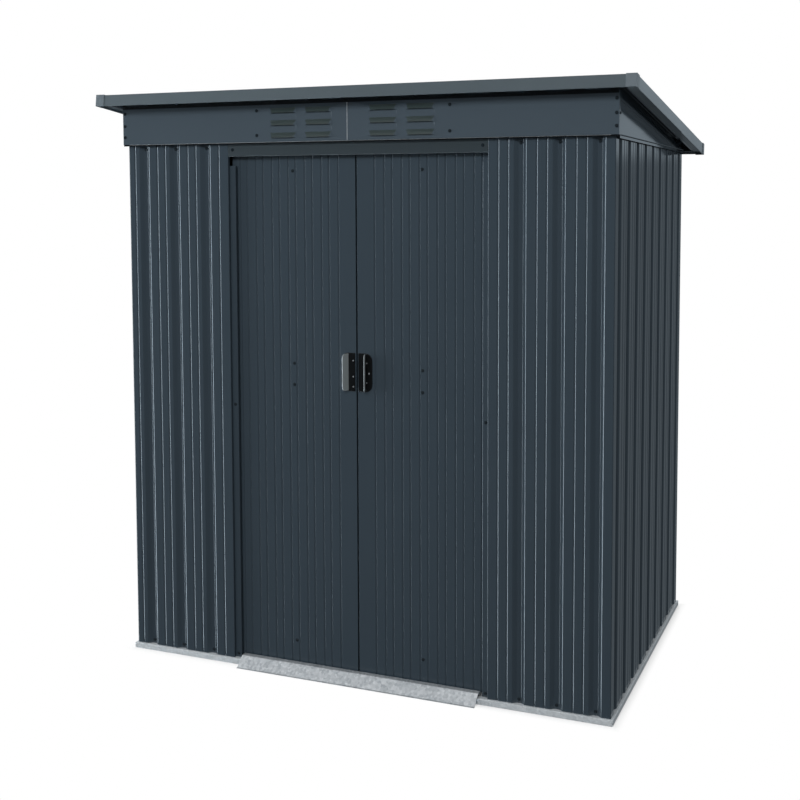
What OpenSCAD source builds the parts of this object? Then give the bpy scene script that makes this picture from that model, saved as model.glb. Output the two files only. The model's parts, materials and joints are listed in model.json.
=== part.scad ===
// Metal storage shed with a single-slope roof and two sliding doors.
// Millimetres. X to the right, Y to the rear, Z up. The origin is on the ground, in the middle of
// the roof's plan.

/* [Walls] */
// Width of the wall box, corner to corner
wall_w = 1540; // [1320:10:1980]
// Depth of the wall box, front to rear
wall_d = 990; // [880:10:1540]
// Height of the wall sheets' top edge above the ground
wall_top = 1596; // [1500:1:1900]
// Thickness of the painted sheet
sheet_t = 0.6; // [0.4:0.1:1]
// Distance from one wall rib to the next
rib_pitch = 110; // [90:1:140]
// Depth of the wide grooves between the ribs
groove_depth = 9; // [5:0.5:12]
// Width of a groove's flat floor
groove_floor = 13; // [8:0.5:30]
// Width of each sloping side of a groove
groove_slope = 11.5; // [4:0.5:14]
// Depth of the fine creases on a rib
crease_depth = 2.5; // [1.5:0.5:4]
// Half the width of a fine crease
crease_half_w = 2.5; // [2:0.5:4]
// First crease on a rib, from the start of the groove before it
crease_first = 65; // [58:0.5:70]
// Second crease on a rib, from the start of the groove before it
crease_second = 93.5; // [80:0.5:100]
// Least flat border beside a sheet's edge
sheet_border = 6; // [4:1:20]
// First groove of the front left panel, from the left corner
left_panel_groove = 37; // [20:1:60]
// First groove of the front right panel, from its door side
right_panel_groove = 74; // [60:1:90]
// First groove of the side and rear walls, from the sheet's start
wall_groove = 34; // [20:1:60]
// Width of the returns folded inwards at the corners
corner_return = 20; // [15:1:24]
// Gap where two seated pieces meet
seat = 0.3; // [0.2:0.1:0.5]

/* [Base] */
// Height of the base rails
rail_h = 17; // [12:1:30]
// How far the base rails stand out beyond the walls
rail_out = 7; // [4:1:12]
// Thickness of the galvanised rail sheet
rail_t = 1; // [0.6:0.1:1.5]
// Width of the base rails' foot, from the outer face
rail_foot = 47; // [44:1:60]
// Height of the upstand that the wall sheets are bolted to
upstand_h = 45; // [35:1:70]
// Height of the lip that guides the doors at the bottom
guide_lip_h = 16; // [14:1:18]
// Diameter of the anchor holes in the base rails' feet
anchor_d = 9; // [6:0.5:12]
// Distance from the wall faces to the anchor holes' centres
anchor_in = 24; // [20:1:27]
// Distance from the corners to the anchor holes, along the side rails
anchor_from_corner = 120; // [80:5:200]
// Height of the ramp's top edge in the doorway
ramp_h = 29; // [24:1:29]
// How far the ramp's toe lies in front of the walls
ramp_out = 34; // [25:1:48]
// Width of the flat toe along the ramp's bottom edge
ramp_toe = 4; // [2:1:8]
// How far behind the wall face the ramp's rear leg stands
ramp_in = 18; // [14:1:18]
// Gap between each end of the ramp and the door posts
ramp_end_gap = 8; // [0.5:0.5:12]

/* [Doorway] */
// Width of the opening between the door posts
opening_w = 789; // [640:1:900]
// Height of the door header
header_h = 39; // [30:1:80]
// Width of the post strip that shows beside each front panel
post_show = 19; // [12:1:40]
// Whole width of a door post
post_w = 50; // [40:1:80]
// Depth of a door post
post_depth = 8; // [6:0.5:9]
// How far below the header's lower edge a door post ends
post_drop = 28; // [5:1:60]
// Height of the track's shelf above the header's lower edge
track_rise = 11; // [8:1:16]
// Height of the lip that the door sliders hang on
track_lip_h = 14; // [10:1:16]
// Distance from the wall face to the track's lip
track_lip_in = 33; // [30:0.5:36]
// Thickness of the rails at the top and middle of the walls
frame_t = 0.8; // [0.6:0.1:1.2]

/* [Doors] */
// Width of a door leaf
leaf_w = 410; // [340:1:440]
// Gap between the closed leaves
meeting_gap = 5; // [5:0.5:8]
// Distance from the wall face to the doors' front face
door_in = 24; // [23.5:0.5:26]
// Clearance kept round the moving doors
door_clear = 5; // [5:0.5:8]
// Depth of a leaf, over its folded edges
leaf_depth = 18; // [16:1:20]
// Height of the doors' lower edge
door_bottom = 24; // [24:1:45]
// Height of the doors' upper edge above the header's lower edge
door_lap = 5; // [3:0.5:6]
// Depth of the door's narrow grooves
door_groove_depth = 1.8; // [1:0.1:3]
// Width of the flat floor of a door groove
door_groove_floor = 1.5; // [1:0.5:6]
// Width of each sloping side of a door groove
door_groove_slope = 2; // [1:0.5:4]
// Distance from one pair of door grooves to the next
door_pitch = 55; // [45:1:70]
// Distance between the two grooves of a pair
door_pair = 30.5; // [20:0.5:36]
// Flat border beside the meeting edge, up to the first groove
door_border = 53; // [46:0.5:60]
// Height of the top and bottom braces in a door
brace_h = 76; // [60:1:90]
// Height of the middle brace
mid_brace_h = 92; // [80:1:120]
// Height of the middle brace's centre above the ground
mid_brace_z = 908; // [700:1:1000]
// Distance from a leaf's edges to its sliders and guides
slider_inset = 45; // [30:1:80]
// Width of a slider or guide
slider_w = 30; // [20:1:40]
// Clearance between a slider and the track's lip, front and rear
slider_clear = 0.5; // [0.3:0.1:1]
// Wall of the plastic sliders
slider_wall = 5; // [3:0.5:6]
// How far the sliders reach down in front of the track's lip
slider_reach = 8; // [5:0.5:10]
// Wall of the plastic guides
guide_wall = 3; // [2:0.5:4]
// How far the guides reach down on both sides of the guiding lip
guide_reach = 6; // [4:0.5:9]
// Clearance between a guide and the lip's top edge
guide_rise = 2; // [1:0.5:3]
// How far behind the middle of a leaf's depth the guiding lip stands
guide_set_back = 2; // [1:0.5:3]

/* [Handles] */
// Width of a handle's plate
handle_w = 44; // [44:1:50]
// Height of a handle's plate
handle_h = 113; // [80:1:140]
// Radius of the plate's outer corners
handle_corner = 22; // [8:1:22]
// Thickness of the handle's plate and lip
handle_t = 3; // [2:0.5:4]
// Distance from the leaf's meeting edge to the handle
handle_inset = 3; // [2:0.5:5]
// Width of the plate on the meeting edge's side of the lip
handle_flange = 20; // [12:1:21]
// How far the lip stands out from the door
lip_proud = 27; // [16:1:30]
// How far the lip leans away from the meeting edge, in degrees
lip_lean = 18; // [0:1:24]
// Radius of the lip's corners
lip_corner = 11; // [2:1:12]
// How far the lip ends short of the plate's ends
lip_end = 2; // [1:0.5:6]
// Height of the handles' centre above the ground
handle_z = 924; // [700:1:1200]

/* [Fascia] */
// How far the fascia and gables stand out beyond the wall faces
fascia_out = 12; // [8:1:16]
// How much less the gables stand out than the fascia
gable_set_back = 2; // [1:0.5:4]
// Where the fascia's two halves meet, from the middle
seam_x = -10; // [-60:1:0]
// How far the left half runs on behind the right half
seam_lap = 25; // [15:1:50]
// Width of a vent louvre
louvre_w = 86; // [60:1:88]
// Height of a vent louvre
louvre_h = 15; // [10:1:20]
// How far a louvre's hood stands out
louvre_out = 6; // [4:0.5:10]
// Length of a louvre's sloping ends
louvre_end = 8; // [4:1:14]
// Rows of louvres
louvre_rows = 3; // [1:1:3]
// Distance between the two louvres of a row, middle to middle
louvre_pitch_x = 115; // [95:1:130]
// Distance from the shed's middle to the middle of a louvre group
louvre_group_x = 160; // [125:1:170]
// Distance from one row of louvres to the next
louvre_pitch_z = 36; // [26:1:38]
// Height of the lowest louvres' middle above the fascia's lower edge
louvre_first_z = 19; // [14:1:26]
// Distance from the shed's middle to the fascia brackets
bracket_x = 306; // [280:1:330]
// Width of a fascia bracket
bracket_w = 36; // [24:1:44]
// Width of the returns along the fascia's edges and the gables' edges
fascia_return = 20; // [12:1:25]

/* [Roof] */
// Slope of the roof, in degrees
roof_pitch = 6.6; // [3:0.1:10]
// How far the roof reaches out over the front wall
roof_front = 68; // [50:1:120]
// How far the roof reaches out over the rear wall
roof_rear = 44; // [35:1:100]
// How far the roof reaches out over each side wall
roof_side = 67; // [45:1:120]
// Height of the edge trim round the roof
trim_h = 34; // [28:1:45]
// Width of the trim's top flange
trim_flange = 30; // [20:1:40]
// Height of the roof sheets' underside above the trim's lower edge
trim_drop = 7; // [5:0.5:12]
// Width of the drip fold along the trim's lower edge
trim_fold = 3; // [2:0.5:5]
// Width of a roof rib at its top
roof_rib_top = 22; // [15:1:30]
// Width of each sloping side of a roof rib
roof_rib_slope = 11; // [8:1:15]
// How far behind the front edge the side trims are joined
trim_joint = 669; // [500:1:750]
// How much lower the rear side trims hang
trim_tail_drop = 2; // [1:0.5:3]
// Length of a corner cap along each edge
cap_l = 28; // [20:1:45]
// Wall of the plastic corner caps
cap_t = 1.2; // [0.8:0.1:2]
// Height of the roof beams
beam_h = 34; // [25:1:40]
// Width of the beams' flanges
beam_flange = 22; // [15:1:30]

/* [Inner rails] */
// Height of the middle rails' centre on the side and rear walls
mid_rail_z = 806; // [500:1:1000]
// Height of a middle rail
mid_rail_h = 40; // [30:1:60]
// Depth of a middle rail
mid_rail_depth = 15; // [10:1:25]
// Length of the leg of a top rail, inside the wall
top_rail_leg = 28; // [20:1:40]

/* [Hidden] */
PAINT = "#384047";
TRIM = "#555E63";
ZINC = "#A5ACB2";
BLACK = "#17191B";
$fn = 48;
// A cut runs this far past the faces that it goes through
cut = 5;

// Plan of the wall box and the roof
half_w = wall_w / 2;
roof_half = half_w + roof_side;
roof_run = wall_d + roof_front + roof_rear;
roof_length = roof_run / cos(roof_pitch);
roof_y = -(roof_run + trim_h * sin(roof_pitch)) / 2;
front_y = roof_y + roof_front;
rear_y = front_y + wall_d;

// Depths behind the wall faces
behind_wall = groove_depth + sheet_t + seat;
rail_inner = rail_foot - rail_out;
guide_lip_in = door_in + leaf_depth / 2 + rail_t / 2 + guide_set_back;

// Heights up to the roof
wall_bottom = rail_h + seat;
header_bottom = wall_top - header_h;
track_shelf_z = header_bottom + track_rise;
rail_top = wall_top + seat + frame_t;
fascia_bottom = rail_top + seat;
top_rail_out = rail_out + frame_t;
roof_seat_y = rear_y + top_rail_out;
function roof_under(y) = fascia_bottom + (roof_seat_y - y) * tan(roof_pitch);
trim_bottom_z = roof_under(roof_y) - trim_drop / cos(roof_pitch);

// The front wall, the opening and the doors
post_inner = opening_w / 2;
panel_edge = post_inner + post_show;
panel_w = half_w - panel_edge;
door_top = header_bottom + door_lap;
gable_x = half_w + fascia_out - gable_set_back;
fascia_half = gable_x + seat + sheet_t;

// Bent sheet: a path in the plane, thickened to its left by the sheet's gauge
function unit(v) = v / norm(v);
function left_of(v) = [-v[1], v[0]];
function leg_before(path, i) = unit(path[max(i, 1)] - path[max(i, 1) - 1]);
function leg_after(path, i) = leg_before(path, min(i + 1, len(path) - 1));
function fold_point(path, i, t) =
  let (a = left_of(leg_before(path, i)), b = left_of(leg_after(path, i)))
  path[i] + (a + b) * t / (1 + a * b);
function bent(path, t) =
  concat(path, [for (i = [len(path) - 1 : -1 : 0]) fold_point(path, i, t)]);
module bent_sheet(path, t) polygon(bent(path, t));

// Profiles are drawn as [depth behind the wall face, height] and run along one wall
module along_x(from, to) translate([from, 0, 0]) rotate([90, 0, 90]) linear_extrude(to - from) children();
module along_y(from, to) translate([0, to, 0]) rotate([90, 0, 0]) linear_extrude(to - from) children();
module along_z(from, to) translate([0, 0, from]) linear_extrude(to - from) children();
module on_front(from, to) along_x(from, to) translate([front_y, 0]) children();
module on_rear(from, to) along_x(from, to) translate([rear_y, 0]) mirror([1, 0]) children();
module on_left(from, to) along_y(from, to) translate([-half_w, 0]) children();
module on_right(from, to) along_y(from, to) translate([half_w, 0]) mirror([1, 0]) children();

// Ribbed sheet, seen from above as [distance along the wall, depth behind its face]
function groove(s) = [
  [s, 0],
  [s + groove_slope, groove_depth],
  [s + groove_slope + groove_floor, groove_depth],
  [s + 2 * groove_slope + groove_floor, 0]
];
groove_w = 2 * groove_slope + groove_floor;
function crease(s) = [[s - crease_half_w, 0], [s, crease_depth], [s + crease_half_w, 0]];
function kept(points, from, to) = points[0][0] > from && points[len(points) - 1][0] < to ? points : [];
function ribs(first, from, to) = [
  for (k = [-1 : ceil((to - from) / rib_pitch)])
    let (s = first + k * rib_pitch)
    each concat(
      kept(groove(s), from, to),
      kept(crease(s + crease_first), from, to),
      kept(crease(s + crease_second), from, to))
];
function ribbed_sheet(first, length, start_return, end_return, end_border) = concat(
  [[0, start_return], [0, 0]],
  ribs(first, sheet_border, length - end_border),
  [[length, 0], [length, end_return]]);
module standing_sheet(first, length, start_return, end_return, end_border = sheet_border)
  bent_sheet(ribbed_sheet(first, length, start_return, end_return, end_border), sheet_t);

// Base rails

base_path = [
  [behind_wall + rail_t, rail_h],
  [-rail_out, rail_h],
  [-rail_out, 0],
  [rail_inner, 0]
];
// Outer corner of the rails in plan, and the prism that mitres one of them there
rail_half_w = half_w + rail_out;
rail_front_y = front_y - rail_out;
rail_rear_y = rear_y + rail_out;
mitre_in = rail_foot + cut;
module mitre_front(y, inward) along_z(-cut, upstand_h + cut)
  polygon([
    [-rail_half_w + seat / 2, y],
    [rail_half_w - seat / 2, y],
    [rail_half_w - seat / 2 - mitre_in, y + inward * mitre_in],
    [-rail_half_w + seat / 2 + mitre_in, y + inward * mitre_in]
  ]);
module mitre_side(x, inward) along_z(-cut, upstand_h + cut)
  polygon([
    [x, rail_front_y + seat / 2],
    [x, rail_rear_y - seat / 2],
    [x + inward * mitre_in, rail_rear_y - seat / 2 - mitre_in],
    [x + inward * mitre_in, rail_front_y + seat / 2 + mitre_in]
  ]);
module upstand() translate([behind_wall, rail_h - rail_t]) square([rail_t, upstand_h - rail_h + rail_t]);
upstand_half = half_w - behind_wall - rail_t - seat;
post_outer = post_inner + post_w;

module front_base_rail() color(ZINC)
  intersection() {
    union() {
      on_front(-rail_half_w, rail_half_w) bent_sheet(base_path, rail_t);
      on_front(-rail_half_w + rail_foot, rail_half_w - rail_foot) guide_lip();
      on_front(-upstand_half, -post_outer - seat) upstand();
      on_front(post_outer + seat, upstand_half) upstand();
    }
    mitre_front(rail_front_y, 1);
  }
module guide_lip() bent_sheet([[behind_wall, 0], [guide_lip_in, 0], [guide_lip_in, guide_lip_h]], rail_t);
module rear_base_rail() color(ZINC)
  intersection() {
    union() {
      on_rear(-rail_half_w, rail_half_w) bent_sheet(base_path, rail_t);
      on_rear(-upstand_half, upstand_half) upstand();
    }
    mitre_front(rail_rear_y, -1);
  }
module anchor_holes(x)
  for (y = [front_y + anchor_from_corner, rear_y - anchor_from_corner])
    translate([x, y, -cut]) cylinder(d = anchor_d, h = rail_t + 2 * cut);
side_upstand_from = front_y + behind_wall + rail_t + seat;
side_upstand_to = rear_y - behind_wall - rail_t - seat;
module left_base_rail() color(ZINC)
  difference() {
    intersection() {
      union() {
        on_left(rail_front_y, rail_rear_y) bent_sheet(base_path, rail_t);
        on_left(side_upstand_from, side_upstand_to) upstand();
      }
      mitre_side(-rail_half_w, 1);
    }
    anchor_holes(-half_w + anchor_in);
  }
module right_base_rail() color(ZINC)
  difference() {
    intersection() {
      union() {
        on_right(rail_front_y, rail_rear_y) bent_sheet(base_path, rail_t);
        on_right(side_upstand_from, side_upstand_to) upstand();
      }
      mitre_side(rail_half_w, -1);
    }
    anchor_holes(half_w - anchor_in);
  }

// Ramp in the doorway: toe, slope, top and a rear leg that stands on the front rail's foot
module door_ramp() color(ZINC)
  on_front(-post_inner + ramp_end_gap, post_inner - ramp_end_gap)
    bent_sheet([
      [ramp_in, rail_t + seat],
      [ramp_in, ramp_h],
      [0, ramp_h],
      [ramp_toe - ramp_out, rail_t],
      [-ramp_out, rail_t]
    ], rail_t);

// Wall sheets
module front_left_panel() color(PAINT)
  along_z(wall_bottom, wall_top) translate([-half_w + sheet_t + seat, front_y])
    standing_sheet(left_panel_groove, panel_w - sheet_t - seat, corner_return, groove_depth + sheet_t,
      post_show + sheet_border);
module front_right_panel() color(PAINT)
  along_z(wall_bottom, wall_top) translate([panel_edge, front_y])
    standing_sheet(right_panel_groove, panel_w - sheet_t - seat, groove_depth + sheet_t, corner_return);
side_from = front_y + sheet_t + seat;
side_length = wall_d - 2 * (sheet_t + seat);
// The side sheets are flat where the front and rear sheets' returns lie against them
side_flat = corner_return + sheet_border;
side_path = concat([[0, 0]], ribs(wall_groove, side_flat, side_length - side_flat), [[side_length, 0]]);
module left_wall() color(PAINT)
  along_z(wall_bottom, wall_top) translate([-half_w, side_from]) mirror([1, -1])
    bent_sheet(side_path, sheet_t);
module right_wall() color(PAINT)
  along_z(wall_bottom, wall_top) translate([half_w, side_from]) rotate(90)
    bent_sheet(side_path, sheet_t);
module rear_wall() color(PAINT)
  along_z(wall_bottom, wall_top) translate([half_w - sheet_t - seat, rear_y]) rotate(180)
    standing_sheet(wall_groove, wall_w - 2 * (sheet_t + seat), corner_return, corner_return);

// Door posts, header and track
module post_profile()
  bent_sheet([
    [post_outer, behind_wall + post_depth],
    [post_outer, behind_wall],
    [post_inner, behind_wall],
    [post_inner, behind_wall + post_depth]
  ], -sheet_t);
post_top = header_bottom - post_drop;
module right_door_post() color(PAINT)
  along_z(wall_bottom, post_top) translate([0, front_y]) post_profile();
module left_door_post() color(PAINT)
  along_z(wall_bottom, post_top) translate([0, front_y]) mirror([1, 0]) post_profile();
header_half = panel_edge - seat;
header_return = groove_depth + sheet_t;
module door_header() color(PAINT)
  on_front(-header_half, header_half)
    bent_sheet([
      [header_return, wall_top],
      [0, wall_top],
      [0, header_bottom],
      [header_return, header_bottom]
    ], sheet_t);
track_half = half_w - behind_wall - frame_t - seat;
module door_track() color(ZINC)
  on_front(-track_half, track_half)
    bent_sheet([
      [sheet_t - fascia_out, wall_top + seat],
      [behind_wall, wall_top + seat],
      [behind_wall, track_shelf_z],
      [track_lip_in, track_shelf_z],
      [track_lip_in, track_shelf_z + track_lip_h]
    ], frame_t);

// Rails round the tops and middles of the walls
module top_rail_profile()
  bent_sheet([
    [behind_wall, wall_top - top_rail_leg],
    [behind_wall, wall_top + seat],
    [-rail_out, wall_top + seat],
    [-rail_out, wall_top - rail_out]
  ], -frame_t);
top_rail_from = front_y + behind_wall + frame_t + seat;
top_rail_to = rear_y - behind_wall - frame_t - seat;
module left_top_rail() color(PAINT) on_left(top_rail_from, top_rail_to) top_rail_profile();
module right_top_rail() color(PAINT) on_right(top_rail_from, top_rail_to) top_rail_profile();
module rear_top_rail() color(PAINT) on_rear(-track_half, track_half) top_rail_profile();
module mid_rail_profile()
  bent_sheet([
    [behind_wall + mid_rail_depth, mid_rail_z + mid_rail_h / 2],
    [behind_wall, mid_rail_z + mid_rail_h / 2],
    [behind_wall, mid_rail_z - mid_rail_h / 2],
    [behind_wall + mid_rail_depth, mid_rail_z - mid_rail_h / 2]
  ], frame_t);
mid_rail_from = front_y + door_in + leaf_depth + door_clear;
mid_rail_to = rear_y - behind_wall - mid_rail_depth - seat;
module left_mid_rail() color(ZINC) on_left(mid_rail_from, mid_rail_to) mid_rail_profile();
module right_mid_rail() color(ZINC) on_right(mid_rail_from, mid_rail_to) mid_rail_profile();
module rear_mid_rail() color(ZINC)
  on_rear(-half_w + corner_return + seat, half_w - corner_return - seat) mid_rail_profile();

// Fascia over the doors, in two halves, with vent louvres
// The fascia's top follows the roof at its front face
function fascia_top(out) = roof_under(front_y - out) - seat;
module fascia_face(out)
  translate([-out, fascia_bottom]) square([sheet_t, fascia_top(out) - fascia_bottom - sheet_t]);
module fascia_profile(out)
  bent_sheet([
    [fascia_return - out, roof_under(front_y - out + fascia_return) - seat],
    [-out, fascia_top(out)],
    [-out, fascia_bottom],
    [fascia_return - out - fascia_out, fascia_bottom]
  ], sheet_t);
function fascia_end_h(out) =
  fascia_top(out) - fascia_bottom - sheet_t - fascia_return * tan(roof_pitch);
module fascia_end(out)
  translate([fascia_half - sheet_t, front_y - out, fascia_bottom])
    cube([sheet_t, fascia_return, fascia_end_h(out)]);
module louvre_places(side)
  for (i = [-1, 1], k = [0 : louvre_rows - 1])
    translate([
      side * louvre_group_x + i * louvre_pitch_x / 2,
      0,
      fascia_bottom + louvre_first_z + k * louvre_pitch_z
    ])
      children();
// A louvre's hood slopes out from its top edge and its two ends, and is open below
function hood_depth(z, inset) = (louvre_out - inset) * (louvre_h / 2 - inset - z) / (louvre_h - inset);
module hood_form(inset, bottom)
  intersection() {
    along_x(inset - louvre_w / 2, louvre_w / 2 - inset)
      polygon([
        [sheet_t / 2, louvre_h / 2 - inset],
        [0, louvre_h / 2 - inset],
        [-hood_depth(bottom, inset), bottom],
        [sheet_t / 2, bottom]
      ]);
    along_z(bottom, louvre_h / 2)
      polygon([
        [inset - louvre_w / 2, sheet_t / 2],
        [inset - louvre_w / 2, 0],
        [inset + louvre_end - louvre_w / 2, -louvre_out],
        [louvre_w / 2 - louvre_end - inset, -louvre_out],
        [louvre_w / 2 - inset, 0],
        [louvre_w / 2 - inset, sheet_t / 2]
      ]);
  }
module louvre_hood(out) translate([0, front_y - out, 0])
  difference() {
    hood_form(0, -louvre_h / 2);
    hood_form(sheet_t, -louvre_h / 2 - sheet_t);
  }
slot_inset = 2 * sheet_t;
module louvre_slot(out)
  translate([slot_inset - louvre_w / 2, front_y - out - cut, -louvre_h / 2])
    cube([louvre_w - 2 * slot_inset, 2 * cut, louvre_h - slot_inset]);
left_out = fascia_out;
right_out = fascia_out + sheet_t + seat;
tongue_from = fascia_bottom + sheet_t + seat;
tongue_to = fascia_top(left_out) - 2 * sheet_t - seat;
module fascia_left() color(PAINT) {
  difference() {
    union() {
      on_front(-fascia_half, seam_x - seat) fascia_face(left_out);
      on_front(-beam_half, seam_x - seat) fascia_profile(left_out);
      mirror([1, 0, 0]) fascia_end(left_out);
      // The plain tongue behind the right half
      translate([seam_x - seat - sheet_t, front_y - left_out, tongue_from])
        cube([seam_lap, sheet_t, tongue_to - tongue_from]);
    }
    louvre_places(-1) louvre_slot(left_out);
  }
  louvre_places(-1) louvre_hood(left_out);
}
module fascia_right() color(PAINT) {
  difference() {
    union() {
      on_front(seam_x, fascia_half) fascia_face(right_out);
      on_front(seam_x, beam_half) fascia_profile(right_out);
      fascia_end(right_out);
    }
    louvre_places(1) louvre_slot(right_out);
  }
  louvre_places(1) louvre_hood(right_out);
}
bracket_in = fascia_out - sheet_t - seat;
module bracket_profile()
  bent_sheet([
    [behind_wall, fascia_bottom + sheet_t + seat],
    [-bracket_in, fascia_bottom + sheet_t + seat],
    [-bracket_in, fascia_top(fascia_out) - fascia_return * tan(roof_pitch) - 2 * sheet_t]
  ], -frame_t);
module fascia_brackets() color(ZINC)
  for (x = [-bracket_x, bracket_x])
    on_front(x - bracket_w / 2, x + bracket_w / 2) bracket_profile();

// Gables: triangular side panels between the wall tops and the roof
gable_from = front_y - fascia_out + sheet_t + seat;
gable_to = rear_y - fascia_return;
module gable_side_view(from, to, drop)
  polygon([
    [from, fascia_bottom],
    [to, fascia_bottom],
    [to, roof_under(to) - seat - drop],
    [from, roof_under(from) - seat - drop]
  ]);
module right_gable() color(PAINT) {
  along_x(gable_x - sheet_t, gable_x) gable_side_view(gable_from, gable_to, 0);
  // Return at the front, behind the fascia's end
  along_x(gable_x - fascia_return, gable_x) gable_side_view(gable_from, gable_from + sheet_t, 0);
  // Flange that the roof sheets rest on
  along_x(gable_x - fascia_return, gable_x)
    polygon([
      [gable_from, roof_under(gable_from) - seat],
      [gable_to, roof_under(gable_to) - seat],
      [gable_to, roof_under(gable_to) - seat - sheet_t],
      [gable_from, roof_under(gable_from) - seat - sheet_t]
    ]);
  // Flange that stands on the side wall's top rail
  along_x(gable_x - fascia_return, gable_x)
    translate([gable_from, fascia_bottom]) square([gable_to - gable_from, sheet_t]);
}
module left_gable() mirror([1, 0, 0]) right_gable();

// Roof beam behind the fascia and purlin at half depth, both with their top along the slope
function sloped_beam(y) = [
  [y + beam_flange, roof_under(y + beam_flange) - seat],
  [y, roof_under(y) - seat],
  [y, roof_under(y) - seat - beam_h],
  [y + beam_flange, roof_under(y) - seat - beam_h]
];
beam_y = front_y - fascia_out + fascia_return + seat;
beam_half = gable_x - fascia_return - seat;
module front_roof_beam() color(ZINC)
  along_x(-beam_half, beam_half) bent_sheet(sloped_beam(beam_y), frame_t);
purlin_y = (front_y + rear_y) / 2;
module roof_purlin() color(ZINC)
  along_x(-beam_half, beam_half) bent_sheet(sloped_beam(purlin_y), frame_t);

// Roof, drawn flat as [across, down the slope, above the trim's lower edge] and then tilted
module tilted() translate([0, roof_y, trim_bottom_z]) rotate([-roof_pitch, 0, 0]) children();
roof_edge = sheet_t + seat;
panel_half = roof_half - roof_edge;
roof_sheets = 3;
roof_panel_w = (2 * panel_half - (roof_sheets - 1) * seat) / roof_sheets;
roof_rib_w = roof_rib_top + 2 * roof_rib_slope;
roof_rib_h = trim_h - trim_drop - 2 * sheet_t - seat;
roof_ribs = floor(roof_panel_w / rib_pitch);
roof_margin = (roof_panel_w - (roof_ribs - 1) * rib_pitch - roof_rib_w) / 2;
function roof_rib(s) = [
  [s, 0],
  [s + roof_rib_slope, roof_rib_h],
  [s + roof_rib_slope + roof_rib_top, roof_rib_h],
  [s + roof_rib_w, 0]
];
module roof_panel(i) color(PAINT) tilted()
  translate([-panel_half + i * (roof_panel_w + seat), 0, trim_drop])
    along_y(roof_edge, roof_length - roof_edge)
      bent_sheet(concat(
        [[0, 0]],
        [for (k = [0 : roof_ribs - 1]) each roof_rib(roof_margin + k * rib_pitch)],
        [[roof_panel_w, 0]]), sheet_t);
module roof_panel_left() roof_panel(0);
module roof_panel_middle() roof_panel(1);
module roof_panel_right() roof_panel(2);

// Edge trim: top flange, face, drip fold and the flange under the roof sheets
function trim_path(drop) = [
  [trim_flange, trim_h - sheet_t],
  [sheet_t, trim_h - sheet_t],
  [sheet_t, sheet_t - drop],
  [trim_fold, sheet_t - drop],
  [trim_fold, trim_drop - seat],
  [trim_flange, trim_drop - seat]
];
module trim_profile(drop = 0) bent_sheet(trim_path(drop), -sheet_t);
trim_mitre_in = trim_flange + cut;
module trim_mitre_end(y, inward) along_z(-cut, trim_h + cut)
  polygon([
    [-roof_half + seat / 2, y],
    [roof_half - seat / 2, y],
    [roof_half - seat / 2 - trim_mitre_in, y + inward * trim_mitre_in],
    [-roof_half + seat / 2 + trim_mitre_in, y + inward * trim_mitre_in]
  ]);
module trim_mitre_side() along_z(-cut, trim_h + cut)
  polygon([
    [roof_half, seat / 2],
    [roof_half, roof_length - seat / 2],
    [roof_half - trim_mitre_in, roof_length - seat / 2 - trim_mitre_in],
    [roof_half - trim_mitre_in, seat / 2 + trim_mitre_in]
  ]);
module front_roof_trim() color(TRIM) tilted()
  intersection() {
    along_x(-roof_half, roof_half) trim_profile();
    trim_mitre_end(0, 1);
  }
module rear_roof_trim() color(TRIM) tilted()
  intersection() {
    along_x(-roof_half, roof_half) translate([roof_length, 0]) mirror([1, 0]) trim_profile();
    trim_mitre_end(roof_length, -1);
  }
module side_trim(from, to, drop) color(TRIM) tilted()
  intersection() {
    along_y(from, to) translate([roof_half, 0]) mirror([1, 0]) trim_profile(drop);
    trim_mitre_side();
  }
module right_trim_front() side_trim(0, trim_joint - seat, 0);
module right_trim_rear() side_trim(trim_joint, roof_length, trim_tail_drop);
module left_trim_front() mirror([1, 0, 0]) right_trim_front();
module left_trim_rear() mirror([1, 0, 0]) right_trim_rear();

// Moulded caps over the roof's four corners
cap_gap = cap_t + seat;
module corner_cap(drop) {
  translate([-cap_l, -cap_gap, trim_h + seat]) cube([cap_l + cap_gap, cap_l + cap_gap, cap_t]);
  translate([-cap_l, -cap_gap, -drop]) cube([cap_l + cap_gap, cap_t, trim_h + drop + cap_gap]);
  translate([seat, -cap_gap, -drop]) cube([cap_t, cap_l + cap_gap, trim_h + drop + cap_gap]);
}
module roof_corner_caps() color(BLACK) tilted()
  for (side = [0, 1]) mirror([side, 0, 0]) {
    translate([roof_half, 0, 0]) corner_cap(0);
    translate([roof_half, roof_length, 0]) mirror([0, 1, 0]) corner_cap(trim_tail_drop);
  }

// Sliding doors, drawn for the right leaf
leaf_from = meeting_gap / 2;
door_groove_w = 2 * door_groove_slope + door_groove_floor;
function door_groove(s) = [
  [s, 0],
  [s + door_groove_slope, door_groove_depth],
  [s + door_groove_slope + door_groove_floor, door_groove_depth],
  [s + door_groove_w, 0]
];
function door_grooves() = [
  for (k = [0 : floor(leaf_w / door_pitch)])
    let (s = door_border + k * door_pitch)
    each concat(
      kept(door_groove(s), 0, leaf_w - sheet_border),
      kept(door_groove(s + door_pair), 0, leaf_w - sheet_border))
];
module right_door_leaf() color(PAINT)
  along_z(door_bottom, door_top) translate([leaf_from, front_y + door_in])
    bent_sheet(concat(
      [[0, leaf_depth], [0, 0]],
      door_grooves(),
      [[leaf_w, 0], [leaf_w, leaf_depth]]), sheet_t);
module left_door_leaf() mirror([1, 0, 0]) right_door_leaf();
brace_in = door_in + door_groove_depth + sheet_t + seat;
brace_from = leaf_from + sheet_t + seat;
brace_to = leaf_from + leaf_w - sheet_t - seat;
module brace(bottom, height)
  on_front(brace_from, brace_to)
    bent_sheet([
      [door_in + leaf_depth, bottom + height],
      [brace_in, bottom + height],
      [brace_in, bottom],
      [door_in + leaf_depth, bottom]
    ], frame_t);
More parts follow.
